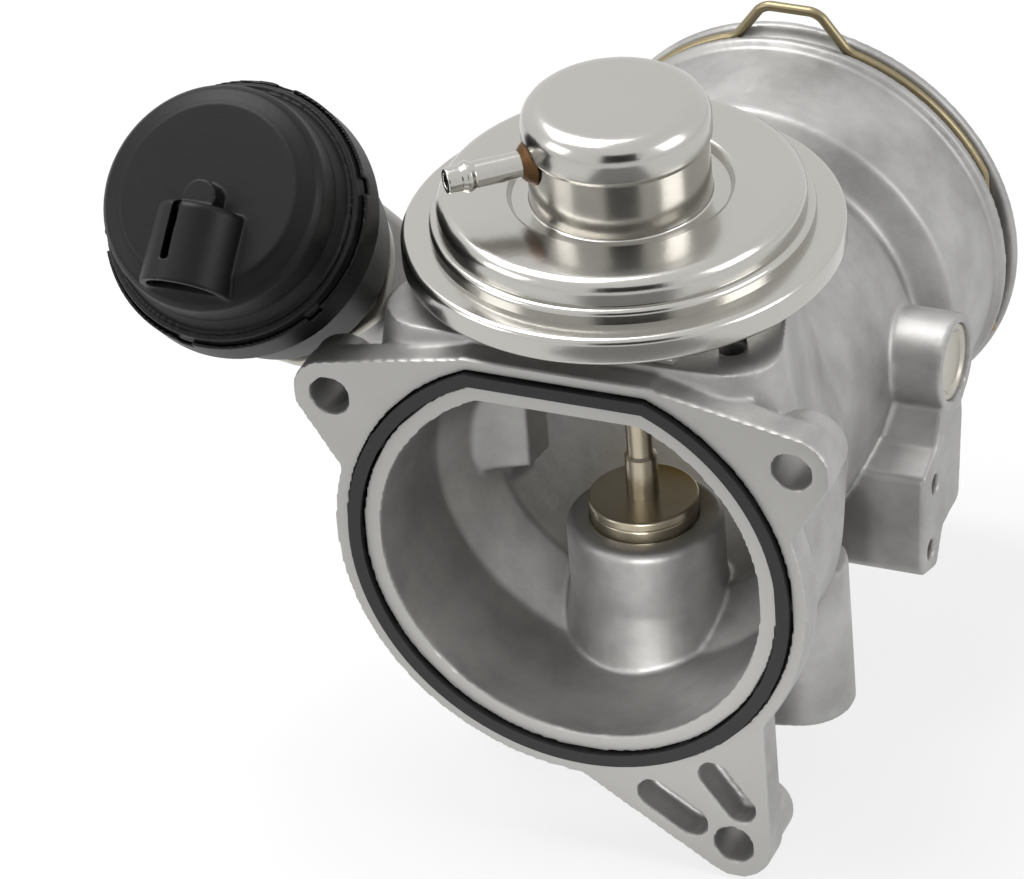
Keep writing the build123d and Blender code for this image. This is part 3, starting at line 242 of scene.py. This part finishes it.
MATERIALS = {
    "cast_aluminium": die_cast_aluminium(),
    "pressed_stainless": pressed_stainless(),
    "valve_steel": turned_valve_steel(),
    "zinc_steel": zinc_steel(),
    "bronze_bush": plain_metal("sintered_bronze", "#9A7B4A", 0.5),
    "braze": plain_metal("braze_metal", "#5E4630", 0.5),
    "flap_brass": plain_metal("turned_brass", "#B9A36A", 0.35),
    "spring_steel": plain_metal("bare_spring_steel", "#8E8368", 0.35),
    "black_plastic": moulded_black(),
    "seal_rubber": black_rubber(),
}
SLOTS = {entry["node"]: entry["material_slot"] for entry in frame["record"]["subparts"]}
for node, slot in SLOTS.items():
    nodes[node].data.materials.clear()
    nodes[node].data.materials.append(MATERIALS[slot])


# ---- Modelling helpers ----
ORIGIN = Vector((0, 0, 0))
VALVE_CENTRE = Vector((0, VALVE_Y * MM, 0))
CAN_CENTRE = Vector(CAN_PLACE) * MM
CAN_LEAN = math.radians(90.0 - CAN_TILT)


def merged_copy(node, name):
    """Copy of a solid's mesh under a new name, with its seams merged."""
    piece = bpy.data.objects.new(name, nodes[node].data.copy())
    bpy.context.scene.collection.objects.link(piece)
    make_active(piece)
    bpy.ops.object.mode_set(mode="EDIT")
    bpy.ops.mesh.select_all(action="SELECT")
    bpy.ops.mesh.remove_doubles(threshold=1e-6)
    bpy.ops.object.mode_set(mode="OBJECT")
    return piece


def apply(piece, kind, **settings):
    """Add one modifier with its settings and apply it."""
    make_active(piece)
    modifier = piece.modifiers.new(kind.lower(), kind)
    for name, value in settings.items():
        setattr(modifier, name, value)
    bpy.ops.object.modifier_apply(modifier=modifier.name)


def smooth_faces(piece, degrees=38):
    """Shade smooth, but leave edges sharper than the angle crisp."""
    make_active(piece)
    bpy.ops.object.shade_smooth_by_angle(angle=math.radians(degrees))


def finish(piece, node, body):
    """Put a piece in its node's place, with the body, the slot and the finish that go with it."""
    slot = SLOTS[node]
    piece.data.materials.clear()
    piece.data.materials.append(MATERIALS[slot])
    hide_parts(node)
    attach(piece, body)
    return piece


def recast(node, name, voxel, rounds, limit, machined=None, extra=()):
    """Solid and extra forms as one skin of at most limit triangles, its edges rounded by rounds
    of smoothing, half as much where machined says that a cutter went."""
    piece = merged_copy(node, name)
    if extra:
        deselect_all()
        for form in extra:
            form.select_set(True)
        piece.select_set(True)
        bpy.context.view_layer.objects.active = piece
        bpy.ops.object.join()
    apply(piece, "REMESH", mode="VOXEL", voxel_size=voxel, adaptivity=0.0)
    group = piece.vertex_groups.new(name="cast")
    group.add([v.index for v in piece.data.vertices], 1.0, "REPLACE")
    if machined:
        crisp = [v.index for v in piece.data.vertices if machined(v.co)]
        group.add(crisp, 0.5, "REPLACE")
    apply(piece, "SMOOTH", factor=0.5, iterations=rounds, vertex_group="cast")
    triangles = 2 * len(piece.data.polygons)
    if triangles > limit:
        apply(piece, "DECIMATE", ratio=limit / triangles)
    smooth_faces(piece)
    return piece


def softened(node, name, width):
    """Copy of a solid with its sharp edges broken, as after tumbling."""
    piece = merged_copy(node, name)
    bpy.ops.object.mode_set(mode="EDIT")
    bpy.ops.mesh.select_all(action="SELECT")
    bpy.ops.mesh.dissolve_limited(angle_limit=math.radians(1.5))
    bpy.ops.object.mode_set(mode="OBJECT")
    apply(piece, "BEVEL", width=width, segments=2, limit_method="ANGLE",
          angle_limit=math.radians(35), use_clamp_overlap=True)
    smooth_faces(piece)
    return piece


def profile(name, corners, radii, steps=6):
    """Open line through (r, z) corners in the XZ plane, each inner corner rounded."""
    deselect_all()
    bpy.ops.mesh.primitive_plane_add(size=0.001)
    piece = bpy.context.object
    piece.name = name
    bpy.ops.object.mode_set(mode="EDIT")
    bpy.ops.mesh.merge(type="CENTER")
    places = [Vector((r * MM, 0, z * MM)) for r, z in corners]
    bpy.ops.transform.translate(value=places[0])
    for here, there in zip(places, places[1:]):
        bpy.ops.mesh.extrude_vertices_move(TRANSFORM_OT_translate={"value": there - here})
    for before, place, after, radius in zip(places, places[1:], places[2:], radii):
        mesh = bmesh.from_edit_mesh(piece.data)
        bpy.ops.mesh.select_all(action="DESELECT")
        for vertex in mesh.verts:
            if (vertex.co - place).length < 1e-7:
                vertex.select_set(True)
        mesh.select_flush_mode()
        bmesh.update_edit_mesh(piece.data)
        turn = (before - place).angle(after - place)
        bpy.ops.mesh.bevel(offset=radius * MM / math.tan(turn / 2), segments=steps, profile=0.5,
                           affect="VERTICES", clamp_overlap=True)
    return piece


def turned(name, corners, radii, centre, thickness=0.0):
    """Spin a rounded profile about a vertical axis through centre, as sheet or solid skin."""
    piece = profile(name, corners, radii)
    bpy.ops.mesh.select_all(action="SELECT")
    bpy.ops.transform.translate(value=centre)
    bpy.ops.mesh.spin(steps=168, angle=2 * math.pi, center=centre, axis=(0, 0, 1))
    bpy.ops.mesh.select_all(action="SELECT")
    bpy.ops.mesh.remove_doubles(threshold=2e-6)
    bpy.ops.mesh.normals_make_consistent(inside=False)
    bpy.ops.object.mode_set(mode="OBJECT")
    if thickness:
        apply(piece, "SOLIDIFY", thickness=thickness * MM, offset=0.0, use_even_offset=True)
    smooth_faces(piece)
    return piece


def wire(name, corners, bends, radius, y):
    """Round wire through (x, z) corners in the plane at y, each inner corner bent to a radius."""
    piece = profile(name, corners, bends, steps=8)
    bpy.ops.mesh.select_all(action="SELECT")
    bpy.ops.transform.translate(value=(0, y, 0))
    bpy.ops.object.mode_set(mode="OBJECT")
    bpy.ops.object.convert(target="CURVE")
    piece.data.bevel_depth = radius
    piece.data.bevel_resolution = 4
    piece.data.use_fill_caps = True
    bpy.ops.object.convert(target="MESH")
    smooth_faces(piece)
    return piece


def moved(piece, place, lean):
    """Tip a piece about X and set it down at a place, leaving it untransformed."""
    make_active(piece)
    piece.rotation_euler = (lean, 0, 0)
    piece.location = place
    bpy.ops.object.transform_apply(location=True, rotation=True)
    return piece


def slab(name, size, place, turn):
    """Flat block lying in the flange's plane, turned in that plane by degrees."""
    deselect_all()
    bpy.ops.mesh.primitive_cube_add(size=1.0, location=Vector(place) * MM,
                                    rotation=(0, math.radians(turn), 0))
    piece = bpy.context.object
    piece.name = name
    bpy.ops.transform.resize(value=Vector(size) * MM, orient_type="LOCAL")
    bpy.ops.object.transform_apply(location=True, rotation=True, scale=True)
    return piece


def squashed_spring(node, name):
    """Copy of a spring, shaded smooth, finished with the housing and given a mesh of its own."""
    piece = merged_copy(node, name)
    smooth_faces(piece)
    finish(piece, node, "housing")
    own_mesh(piece)


# ---- Casting ----
FLANGE_SKIN = 1.0          # depth of the milled flange face
PAD_SKIN = 36.9            # above this lies the milled pad under the capsule
INLET_SKIN = -40.3         # below this lies the milled gas flange
COLLAR_SKIN = 97.0         # behind this lies the turned collar
BEARING_REACH = 8.6        # around the throttle shaft
BEARING_ENDS = (-39.5, 36.5)
SEAT_REACH = 9.6           # around the valve axis
LOWER_BOLT = (24.8, 4.6, -48.6)


def is_machined(point):
    """Faces that a cutter has touched: flange, pad, inlet face, bearing ends and socket."""
    x, y, z = (c / MM for c in point)
    near_shaft = abs(y - SHAFT_Y) < BEARING_REACH and abs(z) < BEARING_REACH
    bearing = near_shaft and (x > BEARING_ENDS[1] or x < BEARING_ENDS[0])
    seat = math.hypot(x, y - VALVE_Y) < SEAT_REACH
    return y < FLANGE_SKIN or z > PAD_SKIN or z < INLET_SKIN or y > COLLAR_SKIN or bearing or seat


def lower_ear_forms():
    """Floors behind the lower ear's two pockets, and a short boss behind its bolt hole."""
    floors = [
        slab("left_pocket_floor", (15.0, 1.8, 7.6), (14.7, 6.2, -43.4), 33),
        slab("right_pocket_floor", (14.0, 1.8, 7.2), (24.2, 6.2, -38.6), 54),
    ]
    hole, outside, length = 3.35, 5.7, 8.0
    boss = turned(
        "lower_bolt_boss",
        [(hole, 0.0), (outside, 0.0), (outside, length), (hole, length), (hole, 0.0)],
        [0.3, 0.6, 0.3],
        ORIGIN,
    )
    return floors + [moved(boss, Vector(LOWER_BOLT) * MM, -math.pi / 2)]


housing = recast("main_housing", "housing_casting", voxel=0.42 * MM, rounds=8, limit=194000,
                 machined=is_machined, extra=lower_ear_forms())
finish(housing, "main_housing", "housing")


# ---- Vacuum can ----
def cover_forms():
    """Bevelled step round the cover's face, and the rounded lip at its rim."""
    step = turned(
        "cover_step",
        [(13.5, 13.4), (14.8, 13.6), (17.4, 12.5), (18.3, 11.2), (18.5, 6.2), (17.0, 5.0), (13.5, 9.5),
         (13.5, 13.4)],
        [0.5, 0.8, 0.8, 0.5, 0.5, 0.5],
        ORIGIN,
    )
    lip = turned(
        "cover_lip",
        [(19.4, 0.8), (20.9, 0.8), (20.9, 2.9), (20.3, 3.5), (19.7, 2.9), (19.4, 0.8)],
        [0.2, 0.3, 0.3, 0.3],
        ORIGIN,
    )
    return [moved(form, CAN_CENTRE, CAN_LEAN) for form in (step, lip)]


cover = recast("can_front_cover", "can_cover", voxel=0.28 * MM, rounds=3, limit=110000,
               extra=cover_forms())
finish(cover, "can_front_cover", "housing")
can_rear = recast("can_rear_housing", "can_body", voxel=0.3 * MM, rounds=3, limit=110000)
finish(can_rear, "can_rear_housing", "housing")

# ---- Vacuum capsule: rim, two steps, recess and cap ----
SHEET = 0.8
DOME_CORNERS = [
    (32.0, 41.3), (34.6, 41.3), (34.6, 45.2), (30.0, 45.2), (30.0, 47.6), (28.7, 47.6), (28.7, 51.8),
    (18.2, 51.8), (17.4, 50.2), (14.0, 50.2), (14.0, 60.6), (14.6, 61.4), (14.6, 67.4), (0, 67.4),
]
DOME_RADII = [0.5, 0.7, 0.4, 0.6, 0.4, 1.9, 0.6, 0.5, 0.8, 0.5, 0.5, 3.4]
dome = turned("capsule_dome", DOME_CORNERS, DOME_RADII, VALVE_CENTRE, thickness=SHEET)
finish(dome, "capsule_upper_shell", "housing")

# ---- Small metal pieces with broken edges; two are kept under the capsule's rim ----
SOFTENED = [
    ("capsule_mount_plate", "capsule_plate", 0.25, "housing"),
    ("capsule_mount_screws", "capsule_screw_heads", 0.2, "housing"),
    ("throttle_lever", "throttle_crank", 0.3, "throttle"),
    ("rod_eye", "rod_end", 0.3, "rod"),
    ("can_nuts", "can_flange_nuts", 0.2, "housing"),
    ("can_bracket", "can_bracket_plate", 0.3, "housing"),
    ("bracket_screws", "bracket_screw_heads", 0.2, "housing"),
    ("throttle_flap", "flap_plate", 0.1, "throttle"),
    ("flap_screws", "flap_screw_heads", 0.15, "throttle"),
]
TRIMMED = {"capsule_plate": 31.2, "capsule_screw_heads": 28.2}
DRUM_MIDDLE = 38.0         # height of the middle of the drum that trims them
DRUM_HEIGHT = 40.0


def trimmed(piece, radius):
    """Keep what lies within a radius of the valve axis."""
    deselect_all()
    bpy.ops.mesh.primitive_cylinder_add(vertices=160, radius=radius, depth=DRUM_HEIGHT * MM,
                                        location=VALVE_CENTRE + Vector((0, 0, DRUM_MIDDLE * MM)))
    drum = bpy.context.object
    bpy.ops.object.transform_apply(location=True)
    apply(piece, "BOOLEAN", operation="INTERSECT", solver="EXACT", object=drum)
    bpy.data.objects.remove(drum)
    return piece


for node, name, width, body in SOFTENED:
    piece = finish(softened(node, name, width * MM), node, body)
    if name in TRIMMED:
        trimmed(piece, TRIMMED[name] * MM)

# ---- Wire clip of the hose collar: two legs, an arc each side and the finger loop ----
CLIP_WIRE_R = 0.85
CLIP_SEAT = 35.6           # radius of the wire's middle
CLIP_LEG = 32.4            # distance of a leg from the middle plane
CLIP_FOOT = 9.8            # foot of the finger loop
LEG_DROP = 0.6             # a leg ends this much further down than its top stands up
LOOP_TOP = (4.8, 41.0)
ARC_STEPS = 12
LEG_BEND, ARC_BEND, FOOT_BEND, TOP_BEND = 2.5, 6.0, 3.5, 3.0


def clip_side():
    """Right half of the clip's line, from the foot of the leg to the top of the loop."""
    leg_top = math.sqrt(CLIP_SEAT ** 2 - CLIP_LEG ** 2)
    start = math.atan2(leg_top, CLIP_LEG)
    sweep = math.acos(CLIP_FOOT / CLIP_SEAT) - start
    angles = [start + sweep * i / ARC_STEPS for i in range(ARC_STEPS + 1)]
    arc = [(CLIP_SEAT * math.cos(a), CLIP_SEAT * math.sin(a)) for a in angles]
    return [(CLIP_LEG, -leg_top - LEG_DROP)] + arc + [LOOP_TOP]


right_half = clip_side()
left_half = [(-x, z) for x, z in reversed(right_half)]
half_bends = [LEG_BEND] + [ARC_BEND] * (ARC_STEPS - 1) + [FOOT_BEND, TOP_BEND]
clip_bends = half_bends + list(reversed(half_bends))
clip = wire("collar_wire_clip", right_half + left_half, clip_bends, CLIP_WIRE_R * MM, CLIP_Y * MM)
finish(clip, "hose_clip", "clip")

# ---- Springs ----
squashed_spring("capsule_spring", "capsule_coil_spring")
squashed_spring("can_spring", "can_coil_spring")


# ---- Camera, light and floor ----
LENS = 303.7               # focal length over a sensor 36 mm wide
CAMERA_PLACE = (0.45907317, -1.01544613, 0.76463199)
CAMERA_BACK = (0.34807663, -0.75696374, 0.55303576)
CAMERA_RIGHT = (0.92462361, 0.37451883, -0.06933131)
VIEW_AZIMUTH = 24.7        # degrees that the camera stands to the right of straight ahead
FLOOR_DROP = 0.0005        # floor below the lowest point
CARD_RISE = 0.001          # floor card above it
LAMPS = [                  # name, place, target, size, watts, spread in degrees
    ("top_softbox", (-0.35, 0.10, 0.80), (0, 0.04, 0), 0.55, 6.5, 180.0),
    ("front_left", (-0.80, -0.55, 0.45), (0, 0.03, 0), 0.45, 2.0, 180.0),
    ("right_side", (0.85, 0.05, 0.45), (0, 0.04, 0), 0.45, 2.5, 180.0),
    ("bowl_light", (0.055, -0.150, 0.010), (0.001, 0.02, -0.020), 0.05, 0.009, 26.0),
]


def place_camera():
    """Long lens from the upper right front, turned slightly about its own axis."""
    back = Vector(CAMERA_BACK)
    right = Vector(CAMERA_RIGHT)
    up = back.cross(right)
    data = bpy.data.cameras.new("camera")
    data.lens = LENS
    data.sensor_width = 36.0
    data.clip_end = 10.0
    camera = bpy.data.objects.new("camera", data)
    turn = Matrix((right, up, back)).transposed().to_4x4()
    camera.matrix_world = Matrix.Translation(CAMERA_PLACE) @ turn
    bpy.context.scene.collection.objects.link(camera)
    bpy.context.scene.camera = camera


def area_light(name, place, target, size, watts, spread):
    """Square lamp aimed at a target."""
    data = bpy.data.lights.new(name, "AREA")
    data.spread = math.radians(spread)
    data.energy = watts
    data.size = size
    lamp = bpy.data.objects.new(name, data)
    lamp.location = place
    lamp.rotation_euler = (Vector(target) - Vector(place)).to_track_quat("-Z", "Y").to_euler()
    bpy.context.scene.collection.objects.link(lamp)


def seen_share(holder, share):
    """Factor that is share for rays from the camera, from gloss and through glass, else 0."""
    path = add(holder, "ShaderNodeLightPath")
    gloss = add(holder, "ShaderNodeMath", None,
                {0: path.outputs["Is Camera Ray"], 1: path.outputs["Is Glossy Ray"]},
                operation="MAXIMUM")
    either = add(holder, "ShaderNodeMath", None,
                 {0: gloss.outputs[0], 1: path.outputs["Is Transmission Ray"]},
                 operation="MAXIMUM")
    return add(holder, "ShaderNodeMath", {1: share}, {0: either.outputs[0]},
               operation="MULTIPLY").outputs[0]


def white_room():
    """World that lights softly and looks plain white."""
    world = bpy.data.worlds.new("studio")
    world.use_nodes = True
    world.node_tree.nodes.clear()
    soft = add(world, "ShaderNodeBackground", {"Color": (0.9, 0.92, 0.95, 1), "Strength": 0.46})
    plain = add(world, "ShaderNodeBackground", {"Color": (1, 1, 1, 1), "Strength": 1.0})
    room = add(world, "ShaderNodeMixShader", None, {
        "Fac": seen_share(world, 1.0), 1: soft.outputs[0], 2: plain.outputs[0],
    })
    add(world, "ShaderNodeOutputWorld", None, {"Surface": room.outputs[0]})
    bpy.context.scene.world = world


def stage_plane(name, size, place, rotation=(0, 0, 0)):
    """Flat plane that belongs to the studio, not to the object."""
    deselect_all()
    bpy.ops.mesh.primitive_plane_add(size=size, location=place, rotation=rotation)
    plane = bpy.context.object
    plane.name = name
    bpy.ops.object.transform_apply(location=True, rotation=True)
    plane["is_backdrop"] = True
    return plane


def paper_floor(height):
    """Pale floor that keeps the shadow."""
    floor = stage_plane("floor", 6.0, (0, 0, height))
    m = new_material("white_paper")
    paint = add(m, "ShaderNodeBsdfDiffuse", {"Color": colour("#FAFAFA")})
    glow = add(m, "ShaderNodeEmission", {"Color": (1, 1, 1, 1), "Strength": 1.0})
    paper = add(m, "ShaderNodeMixShader", None, {
        "Fac": seen_share(m, 0.75), 1: paint.outputs[0], 2: glow.outputs[0],
    })
    add(m, "ShaderNodeOutputMaterial", None, {"Surface": paper.outputs[0]})
    floor.data.materials.append(m)


def dark_card(name, tone, size, place, rotation):
    """Dark card that only reflections can see."""
    card = stage_plane(name, size, place, rotation)
    m = new_material(name + "_paint")
    add(m, "ShaderNodeOutputMaterial", None, {
        "Surface": add(m, "ShaderNodeBsdfDiffuse", {"Color": colour(tone)}).outputs[0],
    })
    card.data.materials.append(m)
    card.visible_camera = False
    card.visible_diffuse = False
    card.visible_shadow = False


def studio():
    """White room, floor, soft lamps and two cards that give the bright sheet its dark bands, one of them a
    painted shade of the floor in front.
    """
    bpy.context.scene.view_settings.view_transform = "Standard"
    white_room()
    for lamp in LAMPS:
        area_light(*lamp)
    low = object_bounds()[0][2]
    facing = math.radians(VIEW_AZIMUTH)
    paper_floor(low - FLOOR_DROP)
    # Card on the floor in front, seen only in reflections: painted shade where the floor in front lies in
    # the object's shade.
    dark_card("floor_shade_card", "#8C8C8C", 0.23, (0.10, -0.20, low + CARD_RISE), (0, 0, facing))
    dark_card("front_card", "#303030", 0.55, (0.30, -0.62, 0.36), (math.radians(90), 0, facing))


place_camera()
studio()
